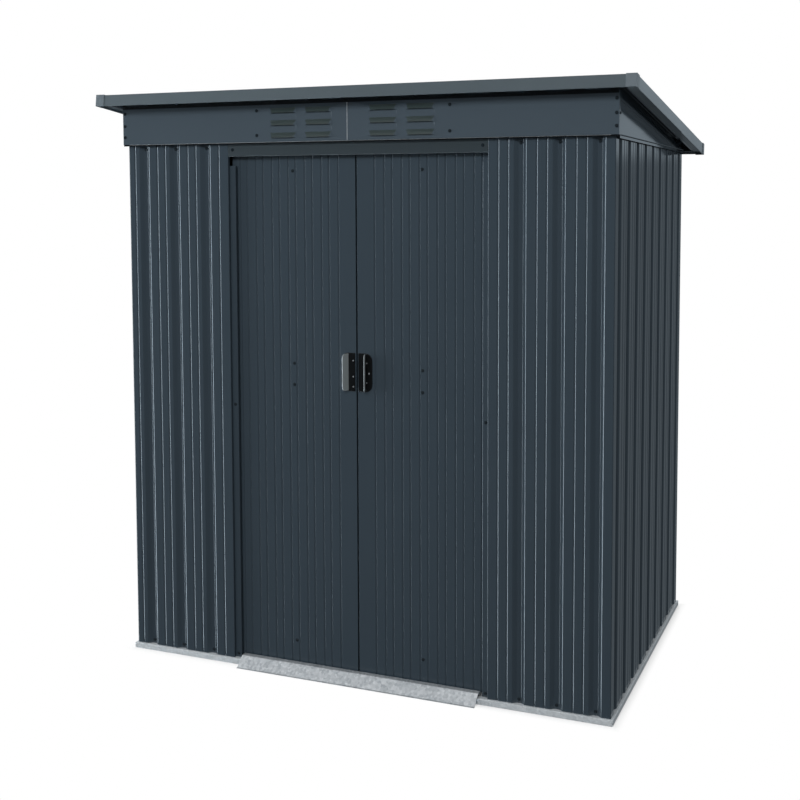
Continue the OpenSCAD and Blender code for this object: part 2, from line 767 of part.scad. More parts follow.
module right_door_braces() color(ZINC) {
  brace(door_bottom, brace_h);
  brace(mid_brace_z - mid_brace_h / 2, mid_brace_h);
  brace(door_top - brace_h, brace_h);
}
module left_door_braces() mirror([1, 0, 0]) right_door_braces();
lip_top = track_shelf_z + track_lip_h;
slider_front = track_lip_in - frame_t - slider_clear;
slider_rear = track_lip_in + slider_clear;
slider_hook = lip_top - slider_reach;
module slider_profile()
  polygon([
    [slider_rear, door_top + seat],
    [slider_rear + slider_wall + seat, door_top + seat],
    [slider_rear + slider_wall + seat, lip_top + seat + slider_wall],
    [slider_front - slider_wall, lip_top + seat + slider_wall],
    [slider_front - slider_wall, slider_hook],
    [slider_front, slider_hook],
    [slider_front, lip_top + seat],
    [slider_rear, lip_top + seat]
  ]);
guide_front = guide_lip_in - rail_t - slider_clear;
guide_rear = guide_lip_in + slider_clear;
guide_hook = guide_lip_h - guide_reach;
guide_top = guide_lip_h + guide_rise;
module guide_profile()
  polygon([
    [guide_front - guide_wall, guide_hook],
    [guide_front, guide_hook],
    [guide_front, guide_top],
    [guide_rear, guide_top],
    [guide_rear, guide_hook],
    [guide_rear + guide_wall, guide_hook],
    [guide_rear + guide_wall, door_bottom - seat],
    [guide_front - guide_wall, door_bottom - seat]
  ]);
module right_door_sliders() color(BLACK)
  for (x = [leaf_from + slider_inset, leaf_from + leaf_w - slider_inset]) {
    on_front(x - slider_w / 2, x + slider_w / 2) slider_profile();
    on_front(x - slider_w / 2, x + slider_w / 2) guide_profile();
  }
module left_door_sliders() mirror([1, 0, 0]) right_door_sliders();

// Moulded pull: a D-shaped plate on the leaf with a leaning lip that the fingers push or pull
lip_root = 0.75 * handle_t;
lip_length = (lip_proud - lip_root) / cos(lip_lean);
lip_half = handle_h / 2 - lip_end;
module handle_outline()
  hull() {
    translate([0, -handle_h / 2]) square([handle_flange, handle_h]);
    for (side = [-1, 1])
      translate([handle_w - handle_corner, side * (handle_h / 2 - handle_corner)])
        circle(r = handle_corner, $fn = 96);
  }
module lip_outline()
  hull() {
    translate([-lip_half, 0]) square([2 * lip_half, handle_t]);
    for (side = [-1, 1])
      translate([side * (lip_half - lip_corner), lip_length - lip_corner])
        circle(r = lip_corner, $fn = 48);
  }
module handle_shape() {
  linear_extrude(handle_t) handle_outline();
  translate([handle_flange, 0, lip_root]) rotate([0, lip_lean, 0])
    rotate([90, 0, 90]) linear_extrude(handle_t) lip_outline();
}
module right_door_handle() color(BLACK)
  translate([leaf_from + handle_inset, front_y + door_in - seat, handle_z])
    rotate([90, 0, 0]) handle_shape();
module left_door_handle() mirror([1, 0, 0]) right_door_handle();

front_base_rail();
rear_base_rail();
left_base_rail();
right_base_rail();
door_ramp();
front_left_panel();
front_right_panel();
left_wall();
right_wall();
rear_wall();
left_door_post();
right_door_post();
door_header();
door_track();
left_top_rail();
right_top_rail();
rear_top_rail();
left_mid_rail();
right_mid_rail();
rear_mid_rail();
fascia_left();
fascia_right();
fascia_brackets();
left_gable();
right_gable();
front_roof_beam();
roof_purlin();
roof_panel_left();
roof_panel_middle();
roof_panel_right();
front_roof_trim();
rear_roof_trim();
left_trim_front();
left_trim_rear();
right_trim_front();
right_trim_rear();
roof_corner_caps();
left_door_leaf();
left_door_braces();
left_door_sliders();
left_door_handle();
right_door_leaf();
right_door_braces();
right_door_sliders();
right_door_handle();
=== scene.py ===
# Metal storage shed: the looks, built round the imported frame. Metres, in the frame's own axes.
import json
from math import cos, radians, sin, tau

import bmesh
import bpy
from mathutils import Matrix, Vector

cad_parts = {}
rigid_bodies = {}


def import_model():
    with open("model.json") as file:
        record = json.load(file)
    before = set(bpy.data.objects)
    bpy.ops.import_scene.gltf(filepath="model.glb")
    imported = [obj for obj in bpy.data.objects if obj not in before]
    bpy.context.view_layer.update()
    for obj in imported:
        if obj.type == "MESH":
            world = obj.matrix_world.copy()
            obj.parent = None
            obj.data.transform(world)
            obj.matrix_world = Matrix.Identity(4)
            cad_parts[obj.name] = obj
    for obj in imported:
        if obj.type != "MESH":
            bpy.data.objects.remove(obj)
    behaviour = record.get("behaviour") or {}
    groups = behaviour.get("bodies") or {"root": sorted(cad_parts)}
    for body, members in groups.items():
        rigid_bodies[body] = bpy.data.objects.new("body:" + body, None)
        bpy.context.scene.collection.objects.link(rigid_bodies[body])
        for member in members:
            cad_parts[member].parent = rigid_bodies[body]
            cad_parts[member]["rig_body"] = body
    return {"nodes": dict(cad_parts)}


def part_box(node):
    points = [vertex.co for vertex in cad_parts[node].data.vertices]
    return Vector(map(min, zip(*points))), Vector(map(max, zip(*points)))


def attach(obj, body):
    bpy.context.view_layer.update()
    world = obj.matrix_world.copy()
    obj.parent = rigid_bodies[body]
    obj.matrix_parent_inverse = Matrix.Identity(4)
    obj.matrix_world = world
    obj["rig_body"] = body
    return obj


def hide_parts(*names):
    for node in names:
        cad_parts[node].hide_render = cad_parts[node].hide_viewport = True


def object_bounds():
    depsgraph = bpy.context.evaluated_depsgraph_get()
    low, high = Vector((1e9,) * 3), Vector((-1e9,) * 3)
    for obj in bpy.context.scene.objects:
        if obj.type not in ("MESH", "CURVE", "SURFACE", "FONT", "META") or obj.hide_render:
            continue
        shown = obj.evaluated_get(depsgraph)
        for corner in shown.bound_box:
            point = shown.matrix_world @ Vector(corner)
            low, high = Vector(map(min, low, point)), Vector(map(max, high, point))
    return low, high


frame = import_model()
cad_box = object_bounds()

# Base rails: four mitred channels of hot-dip galvanised steel that stand on the ground.
# They are roll-formed, so their folds are rounded and the zinc keeps its crystals, called spangle.
mm = 0.001


def linear(hex_colour):
    """An sRGB hex colour as the linear RGBA that a socket takes."""
    channels = [int(hex_colour[i:i + 2], 16) / 255 for i in (1, 3, 5)]
    return [c / 12.92 if c <= 0.04045 else ((c + 0.055) / 1.055) ** 2.4 for c in channels] + [1.0]


def add(tree, kind, inputs=None, **settings):
    """Add a node to a tree. An input is a plain value, another node's output or a list of outputs."""
    node = tree.nodes.new(kind)
    for name, value in settings.items():
        setattr(node, name, value)
    for name, value in (inputs or {}).items():
        sockets = value if isinstance(value, list) else [value]
        if isinstance(sockets[0], bpy.types.NodeSocket):
            for socket in sockets:
                tree.links.new(socket, node.inputs[name])
        else:
            node.inputs[name].default_value = value
    return node


def new_material(name):
    """An empty material, its tree and its output node."""
    material = bpy.data.materials.new(name)
    material.use_nodes = True
    tree = material.node_tree
    tree.nodes.clear()
    return material, tree, add(tree, "ShaderNodeOutputMaterial")


def spangled_zinc(name, light, dark, spangle, metal):
    """Hot-dip galvanised steel: a dull grey metal whose crystals catch the light a little differently."""
    material, tree, output = new_material(name)
    place = add(tree, "ShaderNodeTexCoord").outputs["Object"]
    warp = add(tree, "ShaderNodeTexNoise", {"Vector": place, "Scale": 1 / (2 * spangle), "Detail": 3.0})
    bent = add(tree, "ShaderNodeMix", {"Factor": 0.006, 6: place, 7: warp.outputs["Color"]}, data_type="RGBA")
    crystals = add(tree, "ShaderNodeTexVoronoi", {"Vector": bent.outputs[2], "Scale": 1 / spangle})
    bloom = add(tree, "ShaderNodeTexNoise", {"Vector": place, "Scale": 1 / (6 * spangle), "Detail": 5.0})
    tone = add(tree, "ShaderNodeMix", {"Factor": 0.45, 2: crystals.outputs["Color"], 3: bloom.outputs["Fac"]})
    colour = add(tree, "ShaderNodeMix",
                 {"Factor": tone.outputs[0], 6: linear(dark), 7: linear(light)}, data_type="RGBA")
    rough = add(tree, "ShaderNodeMapRange", {"Value": tone.outputs[0], "To Min": 0.44, "To Max": 0.26})
    shader = add(tree, "ShaderNodeBsdfPrincipled", {
        "Base Color": colour.outputs[2], "Metallic": metal, "Roughness": rough.outputs["Result"]})
    tree.links.new(shader.outputs["BSDF"], output.inputs["Surface"])
    return material


# The rails' zinc is a lighter, less metallic copy of the galvanised finish: painted reflection of the bright
# floor in front
rail_zinc_painted_reflection = spangled_zinc("galvanised_steel_painted_reflection", "#D2D7DA", "#A3AAAF", 7 * mm, 0.2)


def rounded_folds(mesh, radius, raw_edge):
    """Merge a CAD sheet's triangles and round its folds, not its raw edges. Radius 0 keeps all sharp."""
    work = bmesh.new()
    work.from_mesh(mesh)
    bmesh.ops.remove_doubles(work, verts=work.verts, dist=0.005 * mm)
    if radius:
        bmesh.ops.dissolve_limit(work, angle_limit=radians(0.3), verts=work.verts, edges=work.edges)
        wide = {face for face in work.faces if 2 * face.calc_area() / face.calc_perimeter() > raw_edge}
        folds = [edge for edge in work.edges
                 if len(edge.link_faces) == 2
                 and all(face in wide for face in edge.link_faces)
                 and edge.calc_face_angle() > radians(12)]
        bmesh.ops.bevel(work, geom=folds, offset=radius, offset_type="OFFSET", segments=3, profile=0.5,
                        affect="EDGES", clamp_overlap=False)
    for face in work.faces:
        face.smooth = True
    work.to_mesh(mesh)
    work.free()
    mesh.set_sharp_from_angle(angle=radians(35))


def folded(node, material, radius, raw_edge):
    """The sheet that stands for a CAD node: the same sheet with rounded folds and its finish."""
    source = frame["nodes"][node]
    mesh = source.data.copy()
    rounded_folds(mesh, radius, raw_edge)
    mesh.materials.clear()
    mesh.materials.append(material)
    piece = bpy.data.objects.new(node + "_folded", mesh)
    bpy.context.scene.collection.objects.link(piece)
    piece.modifiers.new("even_shading", "WEIGHTED_NORMAL").keep_sharp = True
    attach(piece, source["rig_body"])
    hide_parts(node)
    return piece


rail_fold = 1.6 * mm
rail_raw_edge = 1.6 * mm
for side in ("front", "rear", "left", "right"):
    folded(side + "_base_rail", rail_zinc_painted_reflection, rail_fold, rail_raw_edge)

# Doorway ramp: one folded galvanised strip with a flat toe, a slope and a top behind the door line.
# It stands on the front rail's foot, in the plain galvanised finish, without the rails' painted reflection.
galvanised = spangled_zinc("hot_dip_galvanised_steel", "#CDD1D4", "#7C8389", 7 * mm, 0.5)
folded("door_ramp", galvanised, rail_fold, rail_raw_edge)

# Wall sheets: coil-coated steel, roll-formed into ribs and fine creases, with returns at the corners.
# The polyester coat is a glossy anthracite, faintly pebbled, that mirrors its surroundings at a slant.


def coated_steel(name, colour, variation, roughness):
    """Polyester coil coating: even, with a fine orange peel and a tone that drifts along the sheet."""
    material, tree, output = new_material(name)
    place = add(tree, "ShaderNodeTexCoord").outputs["Object"]
    drift = add(tree, "ShaderNodeTexNoise", {"Vector": place, "Scale": 1 / (180 * mm), "Detail": 4.0})
    tint = add(tree, "ShaderNodeMix",
               {"Factor": drift.outputs["Fac"], 6: linear(colour), 7: linear(variation)}, data_type="RGBA")
    rough = add(tree, "ShaderNodeMapRange", {
        "Value": drift.outputs["Fac"], "To Min": roughness - 0.04, "To Max": roughness + 0.05})
    # The real grain is about 1 mm; it is drawn at 2.5 mm so that it shows
    grain = add(tree, "ShaderNodeTexNoise", {"Vector": place, "Scale": 1 / (2.5 * mm), "Detail": 2.0})
    bump = add(tree, "ShaderNodeBump", {
        "Height": grain.outputs["Fac"], "Strength": 0.02, "Distance": 0.4 * mm})
    shader = add(tree, "ShaderNodeBsdfPrincipled", {
        "Base Color": tint.outputs[2], "Roughness": rough.outputs["Result"], "IOR": 1.5,
        "Normal": bump.outputs["Normal"]})
    tree.links.new(shader.outputs["BSDF"], output.inputs["Surface"])
    return material


anthracite = coated_steel("anthracite_coil_coated_steel", "#323C44", "#2F3941", 0.1)
sheet_fold = 1.5 * mm
sheet_raw_edge = 1.2 * mm


def painted(node):
    return folded(node, anthracite, sheet_fold, sheet_raw_edge)


for node in ("front_left_panel", "front_right_panel", "left_wall", "right_wall", "rear_wall"):
    painted(node)

# Top rails: coated angles over the wall sheets' top edges, which tie the corners together.
# Their outer lip shows as a thin line under the gables.
for node in ("left_top_rail", "right_top_rail", "rear_top_rail"):
    painted(node)

# Door posts and header: folded channels that frame the doorway, bolted behind the front panels.
# The header has its own coat, a little darker and duller than the walls.
for node in ("left_door_post", "right_door_post"):
    painted(node)
header_coat = coated_steel("dark_anthracite_coil_coated_steel", "#2B3337", "#2A3135", 0.32)
folded("door_header", header_coat, sheet_fold, sheet_raw_edge)

# Door track and middle rails: galvanised sections inside the walls, roll-formed from thin sheet.
# The doors hang on the track's lip, behind the header.
inner_fold = 1.2 * mm
inner_raw_edge = 1.4 * mm
for node in ("door_track", "left_mid_rail", "right_mid_rail", "rear_mid_rail"):
    folded(node, galvanised, inner_fold, inner_raw_edge)

# Fascia: two coated sheets over the doors, lapped near the middle, with three rows of pressed vent louvres.
# They are a lighter blue-grey than the walls, and two galvanised brackets hold them from behind.
# Where the right sheet was cut for the lap, its bare zinc edge shows as a bright line.
fascia_coat = coated_steel("blue_grey_coil_coated_steel", "#3D474F", "#3A444C", 0.16)
# The hoods get a darker, greener copy of the coat: painted shade on their forward and upward slopes
painted_shade_hood_coat = coated_steel("blue_grey_coat_with_painted_hood_shade", "#2D3636", "#2A3333", 0.3)
for node in ("fascia_left", "fascia_right"):
    sheet = folded(node, fascia_coat, 0, sheet_raw_edge)
    sheet.data.materials.append(painted_shade_hood_coat)
    for face in sheet.data.polygons:
        # Only the hoods slope forwards and up, and these faces take the painted shade
        if face.normal.y < -0.5 and face.normal.z > 0.15:
            face.material_index = 1


def strip(name, plan_corners, low_z, high_z, material):
    """An upright strip on four corners in plan, which rides the shed."""
    mesh = bpy.data.meshes.new(name)
    mesh.from_pydata(
        [(x, y, z) for z in (low_z, high_z) for x, y in plan_corners],
        [], [(0, 1, 5, 4), (1, 2, 6, 5), (2, 3, 7, 6), (3, 0, 4, 7), (3, 2, 1, 0), (4, 5, 6, 7)])
    mesh.materials.append(material)
    piece = bpy.data.objects.new(name, mesh)
    bpy.context.scene.collection.objects.link(piece)
    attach(piece, "shed")


louvre_out = 6 * mm
lap_low, lap_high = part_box("fascia_right")
cut_front = lap_low.y + louvre_out - 0.25 * mm
cut_left, cut_right = lap_low.x - 0.2 * mm, lap_low.x + 1.8 * mm
strip("fascia_cut_edge",
      ((cut_left, cut_front), (cut_right, cut_front),
       (cut_right, cut_front + 0.3 * mm), (cut_left, cut_front + 0.8 * mm)),
      lap_low.z, lap_high.z - 3 * mm, galvanised)
# Black strips over and under the fascia are painted shade: they stand for the shadowed gaps along its edges
# and show as dark lines
shade_strip_black, tree, output = new_material("black_painted_shade_strip")
shade_strip_shader = add(tree, "ShaderNodeBsdfPrincipled", {
    "Base Color": linear("#0A0C0E"), "Roughness": 0.9, "Specular IOR Level": 0.1})
tree.links.new(shade_strip_shader.outputs["BSDF"], output.inputs["Surface"])
trim_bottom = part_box("front_roof_trim")[0].z
shade_strip_t = 3 * mm
shade_strip_half = lap_high.x - 1 * mm
for name, shade_strip_front, shade_strip_low, shade_strip_high in (
        ("roof_shade_strip", cut_front - 0.5 * mm, trim_bottom - 8 * mm, trim_bottom + 7 * mm),
        ("wall_shade_strip", cut_front + 2 * mm, lap_low.z - 4.5 * mm, lap_low.z - 0.2 * mm)):
    shade_strip_rear = shade_strip_front + shade_strip_t
    strip(name,
          ((-shade_strip_half, shade_strip_front), (shade_strip_half, shade_strip_front),
           (shade_strip_half, shade_strip_rear), (-shade_strip_half, shade_strip_rear)),
          shade_strip_low, shade_strip_high, shade_strip_black)
folded("fascia_brackets", galvanised, inner_fold, inner_raw_edge)

# Gables: coated sheets that fill the wedge between the side walls' top rails and the roof.
# Each is one sheet, folded back along all its edges and bolted to the fascia's ends.
for node in ("left_gable", "right_gable"):
    painted(node)

# Roof: three ribbed coated sheets, lapped at their ribs, that fall 6.6 degrees to the rear.
# A beam behind the fascia and a purlin at half depth, both galvanised, carry them.
for node in ("front_roof_beam", "roof_purlin"):
    folded(node, galvanised, inner_fold, inner_raw_edge)
for node in ("roof_panel_left", "roof_panel_middle", "roof_panel_right"):
    painted(node)

# Roof trim: coated channels round the roof's edge, lighter and duller than the walls.
# Each is folded with a drip at its lower edge, and the side ones are in two lengths, butted halfway.
trim_coat = coated_steel("slate_grey_coil_coated_steel", "#495257", "#434C51", 0.38)
for node in ("front_roof_trim", "rear_roof_trim"):
    folded(node, trim_coat, 0.9 * mm, sheet_raw_edge)
# The side trims get a paler copy of this coat: painted reflection of the bright surround on their faces
side_trim_painted_reflection_coat = coated_steel("pale_slate_painted_reflection_coat", "#6B757B", "#616B71", 0.3)
for node in ("left_trim_front", "left_trim_rear", "right_trim_front", "right_trim_rear"):
    folded(node, side_trim_painted_reflection_coat, 0.9 * mm, sheet_raw_edge)

# Corner caps: four mouldings of grey polypropylene, pushed over the ends of the trim at the roof's corners.
# They come from a spark-eroded tool, so their skin is a little grainy.


def moulded_plastic(name, colour, roughness):
    """Moulded plastic: smooth and a little glossy, with the faint texture of its tool."""
    material, tree, output = new_material(name)
    place = add(tree, "ShaderNodeTexCoord").outputs["Object"]
    spark = add(tree, "ShaderNodeTexNoise", {"Vector": place, "Scale": 1 / (1.2 * mm), "Detail": 2.0})
    rough = add(tree, "ShaderNodeMapRange", {
        "Value": spark.outputs["Fac"], "To Min": roughness - 0.05, "To Max": roughness + 0.05})
    bump = add(tree, "ShaderNodeBump", {
        "Height": spark.outputs["Fac"], "Strength": 0.06, "Distance": 0.3 * mm})
    shader = add(tree, "ShaderNodeBsdfPrincipled", {
        "Base Color": linear(colour), "Roughness": rough.outputs["Result"], "IOR": 1.5,
        "Normal": bump.outputs["Normal"]})
    tree.links.new(shader.outputs["BSDF"], output.inputs["Surface"])
    return material


cap_plastic = moulded_plastic("grey_polypropylene", "#586167", 0.34)
folded("roof_corner_caps", cap_plastic, 0.5 * mm, 0.8 * mm)

# Sliding doors: two finely grooved coated leaves with three galvanised braces across their backs.
# Each hangs on two plastic sliders in the track, is kept in line by two guides on the base rail's lip,
# and has a moulded black pull, a plate with a leaning grey lip, beside the meeting edge.
black_plastic = moulded_plastic("black_abs", "#0B0C0D", 0.2)
lip_plastic = moulded_plastic("satin_grey_abs", "#7E8587", 0.3)
plate_t = 3 * mm
for side in ("left", "right"):
    folded(side + "_door_leaf", anthracite, 0.2 * mm, 0.8 * mm)
    folded(side + "_door_braces", galvanised, inner_fold, inner_raw_edge)
    folded(side + "_door_sliders", black_plastic, 0.5 * mm, 0.8 * mm)
    pull = folded(side + "_door_handle", black_plastic, 0.8 * mm, 0.8 * mm)
    # What stands clear of the plate, the lip, is grey
    pull.data.materials.append(lip_plastic)
    plate_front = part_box(side + "_door_handle")[1].y - plate_t
    for face in pull.data.polygons:
        if face.center.y < plate_front - 1 * mm:
            face.material_index = 1

# Bolts and screws: coated pan heads on washers hold the sheets to the rails, and small zinc ones the pulls.
# A Geometry Nodes tree sets a head on each point and turns it out of the sheet, one mesh for each body.


def head_tree():
    """A tree that sets a pan head with a washer on each point, along its facing, with a random spin."""
    tree = bpy.data.node_groups.new("pan_heads", "GeometryNodeTree")
    tree.interface.new_socket("Points", in_out="INPUT", socket_type="NodeSocketGeometry")
    for label in ("Washer radius", "Washer height", "Head radius", "Head height"):
        tree.interface.new_socket(label, in_out="INPUT", socket_type="NodeSocketFloat")
    tree.interface.new_socket("Seed", in_out="INPUT", socket_type="NodeSocketInt")
    tree.interface.new_socket("Finish", in_out="INPUT", socket_type="NodeSocketMaterial")
    tree.interface.new_socket("Heads", in_out="OUTPUT", socket_type="NodeSocketGeometry")
    given = add(tree, "NodeGroupInput").outputs

    def scaled(value, factor):
        return add(tree, "ShaderNodeMath", {0: value, 1: factor}, operation="MULTIPLY").outputs[0]

    def raised(mesh, height):
        lift = add(tree, "ShaderNodeCombineXYZ", {"Z": height}).outputs["Vector"]
        return add(tree, "GeometryNodeTransform", {"Geometry": mesh, "Translation": lift}).outputs["Geometry"]

    washer = add(tree, "GeometryNodeMeshCylinder", {
        "Vertices": 16, "Radius": given["Washer radius"], "Depth": given["Washer height"]})
    dome = add(tree, "GeometryNodeMeshCone", {
        "Vertices": 12, "Radius Bottom": given["Head radius"],
        "Radius Top": scaled(given["Head radius"], 0.72), "Depth": given["Head height"]})
    # The driver's recess: the top face again, smaller, and pushed down
    inner = add(tree, "GeometryNodeExtrudeMesh", {
        "Mesh": dome.outputs["Mesh"], "Selection": dome.outputs["Top"], "Offset Scale": 0.0})
    narrowed = add(tree, "GeometryNodeScaleElements", {
        "Geometry": inner.outputs["Mesh"], "Selection": inner.outputs["Top"], "Scale": 0.55})
    recess = add(tree, "GeometryNodeExtrudeMesh", {
        "Mesh": narrowed.outputs["Geometry"], "Selection": inner.outputs["Top"],
        "Offset Scale": scaled(given["Head height"], -0.5)})
    head = add(tree, "GeometryNodeJoinGeometry", {"Geometry": [
        raised(washer.outputs["Mesh"], scaled(given["Washer height"], 0.5)),
        raised(recess.outputs["Mesh"], given["Washer height"])]})
    facing = add(tree, "GeometryNodeInputNamedAttribute", {"Name": "facing"}, data_type="FLOAT_VECTOR")
    turned = add(tree, "FunctionNodeAlignRotationToVector",
                 {"Vector": facing.outputs["Attribute"]}, axis="Z")
    angle = add(tree, "FunctionNodeRandomValue", {2: 0.0, 3: tau, "Seed": given["Seed"]}, data_type="FLOAT")
    spin = add(tree, "FunctionNodeAxisAngleToRotation",
               {"Axis": (0.0, 0.0, 1.0), "Angle": angle.outputs[1]})
    spun = add(tree, "FunctionNodeRotateRotation", {
        "Rotation": turned.outputs["Rotation"], "Rotate By": spin.outputs["Rotation"]},
        rotation_space="LOCAL")
    placed = add(tree, "GeometryNodeInstanceOnPoints", {
        "Points": given["Points"], "Instance": head.outputs["Geometry"],
        "Rotation": spun.outputs["Rotation"]})
    solid = add(tree, "GeometryNodeRealizeInstances", {"Geometry": placed.outputs["Instances"]})
    finished = add(tree, "GeometryNodeSetMaterial", {
        "Geometry": solid.outputs["Geometry"], "Material": given["Finish"]})
    add(tree, "NodeGroupOutput", {"Heads": finished.outputs["Geometry"]})
    return tree


pan_heads = head_tree()


def fasteners(name, body, finish, washer_d, head_d, places):
    """Heads on the given places, each a point and the way it faces, as one mesh that rides a body."""
    mesh = bpy.data.meshes.new(name)
    mesh.from_pydata([point for point, _ in places], [], [])
    facing = mesh.attributes.new("facing", "FLOAT_VECTOR", "POINT")
    facing.data.foreach_set("vector", [part for _, way in places for part in way])
    piece = bpy.data.objects.new(name, mesh)
    bpy.context.scene.collection.objects.link(piece)
    setter = piece.modifiers.new("pan_heads", "NODES")
    setter.node_group = pan_heads
    sockets = {item.name: item.identifier
               for item in pan_heads.interface.items_tree if item.in_out == "INPUT"}
    for label, value in (("Washer radius", washer_d / 2), ("Washer height", washer_d * 0.08),
                         ("Head radius", head_d / 2), ("Head height", head_d * 0.32),
                         ("Seed", 7), ("Finish", finish)):
        setter[sockets[label]] = value
    bpy.context.view_layer.update()
    seen_piece = piece.evaluated_get(bpy.context.evaluated_depsgraph_get())
    heads = bpy.data.meshes.new_from_object(seen_piece)
    piece.modifiers.remove(setter)
    piece.data = heads
    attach(piece, body)


to_front, to_rear, to_left, to_right = (0, -1, 0), (0, 1, 0), (-1, 0, 0), (1, 0, 0)
bolt_washer_d, bolt_head_d = 10 * mm, 7.5 * mm
screw_washer_d, screw_head_d = 4.4 * mm, 4 * mm
rib_pitch = 110 * mm
groove_depth = 9 * mm
groove_middle = 18 * mm
bottom_row = 28 * mm
middle_row = 806 * mm
top_row = 1582 * mm
wall_rows = (bottom_row, middle_row, top_row)
corner_land = 34 * mm
low_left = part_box("front_left_panel")[0]
low_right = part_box("front_right_panel")[0]
groove_y = low_left.y + groove_depth
shed_bolts = []
# Front panels: three grooves each, at the base rail and under the fascia
for first in (low_left.x + 37 * mm, low_right.x + 74 * mm):
    for k in range(3):
        for z in (bottom_row, top_row):
            shed_bolts.append(((first + groove_middle + k * rib_pitch, groove_y, z), to_front))
# Side walls: a row at the base rail, the middle rail and the top rail
side_low, side_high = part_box("right_wall")
for k in range(9):
    y = side_low.y + corner_land + groove_middle + k * rib_pitch
    for z in wall_rows:
        shed_bolts.append(((side_high.x - groove_depth, y, z), to_right))
        shed_bolts.append(((groove_depth - side_high.x, y, z), to_left))
# Rear wall, in the same rows
rear_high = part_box("rear_wall")[1]
for k in range(14):
    x = rear_high.x - corner_land - groove_middle - k * rib_pitch
    for z in wall_rows:
        shed_bolts.append(((x, rear_high.y - groove_depth, z), to_rear))
# Door posts, header ends and fascia
post_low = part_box("right_door_post")[0]
header_low, header_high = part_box("door_header")
header_end_x = 398 * mm
gable_low, gable_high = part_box("right_gable")
fascia = {-1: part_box("fascia_left"), 1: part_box("fascia_right")}
fascia_end_x, fascia_end_rows = 774 * mm, (1620 * mm, 1654 * mm, 1692 * mm)
fascia_bracket_x, fascia_bracket_rows = 306 * mm, (1617 * mm, 1689 * mm)
for side in (-1, 1):
    post_x = side * (post_low.x + 10 * mm)
    shed_bolts += [((post_x, post_low.y, z), to_front) for z in (bottom_row, middle_row)]
    shed_bolts.append(((side * header_end_x, header_low.y, (header_low.z + header_high.z) / 2), to_front))
    fascia_y = fascia[side][0].y + louvre_out
    shed_bolts += [((side * fascia_end_x, fascia_y, z), to_front) for z in fascia_end_rows]
    shed_bolts += [((side * fascia_bracket_x, fascia_y, z), to_front) for z in fascia_bracket_rows]
    shed_bolts.append(((side * gable_high.x, gable_low.y + 12 * mm, fascia_end_rows[1]), (side, 0, 0)))
coated_heads = coated_steel("dark_coated_screw_heads", "#1F262B", "#1B2227", 0.14)
fasteners("shed_bolts", "shed", coated_heads, bolt_washer_d, bolt_head_d, shed_bolts)

# Doors: four bolts through each leaf into its braces, and small zinc screws in each pull's plate,
# of which only the left pull has a second row beside the meeting edge
door_rows = (92 * mm, 876 * mm, 940 * mm, 1513 * mm)
outer_screws = [(27 * mm, 952 * mm), (35 * mm, 922 * mm), (27 * mm, 894 * mm)]
inner_screws = [(5.5 * mm, 958 * mm), (5.5 * mm, 911 * mm), (5.5 * mm, 881 * mm)]
for side, way in (("left", -1), ("right", 1)):
    leaf_low, leaf_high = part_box(side + "_door_leaf")
    bolts = [(((leaf_low.x + leaf_high.x) / 2, leaf_low.y, z), to_front) for z in door_rows]
    fasteners(side + "_door_bolts", side + "_door", coated_heads,
              bolt_washer_d, bolt_head_d, bolts)
    pull_low, pull_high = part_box(side + "_door_handle")
    pull_x = pull_high.x if way < 0 else pull_low.x
    rows = outer_screws + inner_screws if side == "left" else outer_screws
    screws = [((pull_x + way * x, pull_high.y - plate_t, z), to_front) for x, z in rows]
    fasteners(side + "_pull_screws", side + "_door", galvanised,
              screw_washer_d, screw_head_d, screws)

# Studio: a pale floor and a white surround. Only the camera sees the floor glow, so it stays white there
# but keeps the shadow, and other rays meet plain grey paper.
floor_reach = 7.6
floor_z = -0.5 * mm
floor_mesh = bpy.data.meshes.new("floor")
floor_mesh.from_pydata(
    [(x * floor_reach, y * floor_reach, floor_z) for x, y in ((-1, -1), (1, -1), (1, 1), (-1, 1))],
    [], [(0, 1, 2, 3)])
floor = bpy.data.objects.new("floor", floor_mesh)
bpy.context.scene.collection.objects.link(floor)
floor_paper, tree, output = new_material("white_studio_floor")
rays = add(tree, "ShaderNodeLightPath").outputs
seen = add(tree, "ShaderNodeMath",
           {0: rays["Is Camera Ray"], 1: rays["Is Transmission Ray"]}, operation="MAXIMUM")
place = add(tree, "ShaderNodeTexCoord").outputs["Object"]
place = add(tree, "ShaderNodeSeparateXYZ", {"Vector": place}).outputs
# How far a point lies outside the shed's plan, in metres: the glow starts there and is full further out
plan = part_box("left_base_rail")[0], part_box("right_base_rail")[1]
beyond_x = add(tree, "ShaderNodeMath", {0: place["X"]}, operation="ABSOLUTE")
beyond_x = add(tree, "ShaderNodeMath", {0: beyond_x.outputs[0], 1: plan[1].x}, operation="SUBTRACT")
beyond_y = add(tree, "ShaderNodeMath", {0: place["Y"], 1: (plan[0].y + plan[1].y) / 2}, operation="SUBTRACT")
beyond_y = add(tree, "ShaderNodeMath", {0: beyond_y.outputs[0]}, operation="ABSOLUTE")
beyond_y = add(tree, "ShaderNodeMath",
               {0: beyond_y.outputs[0], 1: (plan[1].y - plan[0].y) / 2}, operation="SUBTRACT")
beyond = add(tree, "ShaderNodeMath", {0: beyond_x.outputs[0], 1: beyond_y.outputs[0]}, operation="MAXIMUM")
glow_share = add(tree, "ShaderNodeMapRange", {
    "Value": beyond.outputs[0], "From Min": -0.02, "From Max": 0.03}, interpolation_type="SMOOTHSTEP")
white_paper = add(tree, "ShaderNodeBsdfDiffuse", {"Color": linear("#F4F4F4")})
grey_paper = add(tree, "ShaderNodeBsdfDiffuse", {"Color": linear("#7C7C7C")})
glow = add(tree, "ShaderNodeEmission", {"Color": linear("#FFFFFF"), "Strength": 1.0})
lit = add(tree, "ShaderNodeMixShader",
          {0: glow_share.outputs["Result"], 1: white_paper.outputs[0], 2: glow.outputs[0]})
